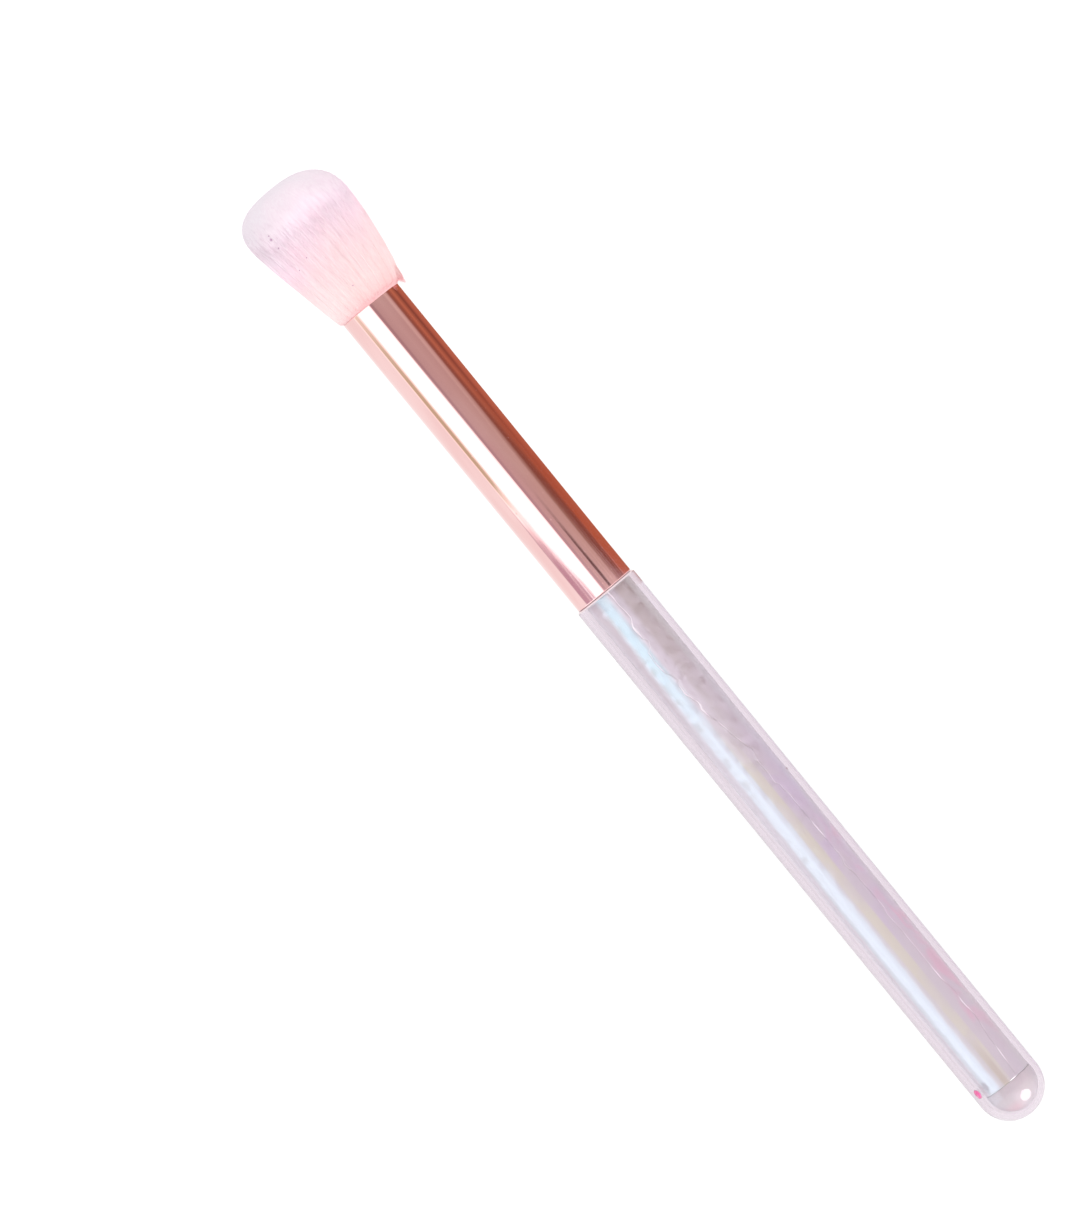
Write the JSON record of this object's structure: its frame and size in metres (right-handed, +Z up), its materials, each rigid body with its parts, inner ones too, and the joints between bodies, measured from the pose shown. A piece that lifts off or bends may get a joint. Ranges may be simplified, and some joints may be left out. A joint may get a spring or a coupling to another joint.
{
  "type": "cosmetic brush",
  "caption": "Face make-up brush with a clear round-ended tube handle lined with rolled iridescent film, a slim metal ferrule, and a flared, domed soft tuft.",
  "frame": {"origin": "on the table that the brush lies on, under the middle of its bounding box", "axes": "+X along the brush from the handle's round end to the bristle tips, which rise by about one degree; +Z up; +Y towards the side that the tuft leans to"},
  "size_m": [0.1744, 0.0168, 0.0158],
  "materials": {
    "clear_acrylic": "clear polished acrylic, 0.9 mm wall",
    "pearl_film": "thin rolled film, pearly lilac that turns pink and tan, lightly crinkled",
    "white_plug": "moulded, plain",
    "set_glue": "set epoxy, amber",
    "rose_gold": "drawn, polished, anodised pale rose gold",
    "binding_thread": "twisted thread",
    "peach_bristle": "fine synthetic fibre, peach pink at the root, lavender white at the tips"
  },
  "bodies": {
    "root": {"handle_tube": "clear_acrylic", "iridescent_film": "pearl_film", "joining_plug": "white_plug", "plug_glue_rear": "set_glue", "plug_glue_front": "set_glue", "ferrule": "rose_gold", "root_glue": "set_glue", "root_tie": "binding_thread", "bristle_tuft": "peach_bristle"}
  },
  "joints": []
}
